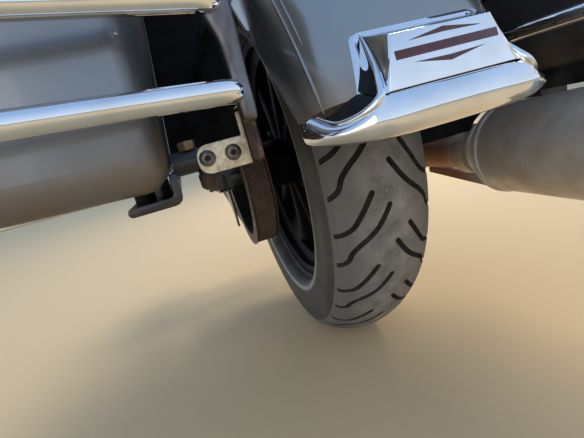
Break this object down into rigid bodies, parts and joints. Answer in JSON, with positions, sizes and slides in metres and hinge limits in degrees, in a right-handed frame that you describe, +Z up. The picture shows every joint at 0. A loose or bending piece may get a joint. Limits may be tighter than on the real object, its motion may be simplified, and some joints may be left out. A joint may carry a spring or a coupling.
{
  "type": "motorcycle rear end",
  "caption": "Bolt-on rear end of a touring motorcycle: belt-driven wheel, fender, two saddlebags with chrome guard rails, and muffler.",
  "frame": {"origin": "centre of the swingarm pivot bore, on the wheel's middle plane", "axes": "+X forward, +Y to the rider's left along the pivot bore, +Z up"},
  "size_m": [1.1466, 0.984, 0.705],
  "materials": {
    "tyre": "worn, matt",
    "black_cast": "satin black",
    "steel": "bare, brushed",
    "belt_rubber": "dusty, ribbed",
    "black_frame": "gloss black",
    "silver_paint": "metallic pewter, clear coat",
    "chrome": "polished",
    "red_lens": "moulded, glossy",
    "dark_steel": "dusty dark grey",
    "zinc": "dull cream zinc plate",
    "rusty_steel": "rust brown",
    "black_rubber": "matt"
  },
  "bodies": {
    "rear_frame": {"axle": "steel", "axle_nut": "steel", "axle_spacers": "steel", "bag_pads_left": "black_rubber", "bag_pads_right": "black_rubber", "bag_shell_left": "silver_paint", "bag_shell_right": "silver_paint", "bag_support_left": "dark_steel", "bag_support_right": "dark_steel", "belt_front_wrap": "belt_rubber", "belt_guard": "dark_steel", "belt_lower_run": "belt_rubber", "belt_rear_wrap": "belt_rubber", "belt_upper_run": "belt_rubber", "brake_caliper": "black_cast", "caliper_carrier": "black_frame", "cross_member": "black_frame", "exhaust_clamp": "steel", "exhaust_pipe": "chrome", "fender": "silver_paint", "fender_tip": "chrome", "guard_bracket": "zinc", "guard_rail_left": "chrome", "guard_rail_right": "chrome", "guard_tab": "rusty_steel", "muffler": "chrome", "muffler_saddle": "dark_steel", "shock_bolts": "steel", "shock_left": "black_frame", "shock_right": "black_frame", "subframe_left": "black_frame", "subframe_right": "black_frame", "swingarm_cross_tube": "black_frame", "swingarm_left": "black_frame", "swingarm_pivot": "black_frame", "swingarm_right": "black_frame", "tail_lamp_housing": "chrome", "tail_lamp_lens": "red_lens"},
    "wheel": {"brake_disc": "steel", "rear_pulley": "black_cast", "tyre": "tyre", "wheel_bearings": "steel", "wheel_rim": "black_cast"},
    "lid_left": {"bag_lid_left": "silver_paint"},
    "lid_right": {"bag_lid_right": "silver_paint"}
  },
  "joints": [
    {"name": "wheel_spin", "type": "hinge", "parent": "rear_frame", "child": "wheel", "pos_m": [-0.51, 0, -0.025], "axis": [0, 1, 0], "continuous": true},
    {"name": "lid_left_hinge", "type": "hinge", "parent": "rear_frame", "child": "lid_left", "pos_m": [-0.665, 0.181, 0.275], "axis": [1, 0, 0], "range_deg": [0, 85]},
    {"name": "lid_right_hinge", "type": "hinge", "parent": "rear_frame", "child": "lid_right", "pos_m": [-0.665, -0.181, 0.275], "axis": [-1, 0, 0], "range_deg": [0, 85]}
  ]
}
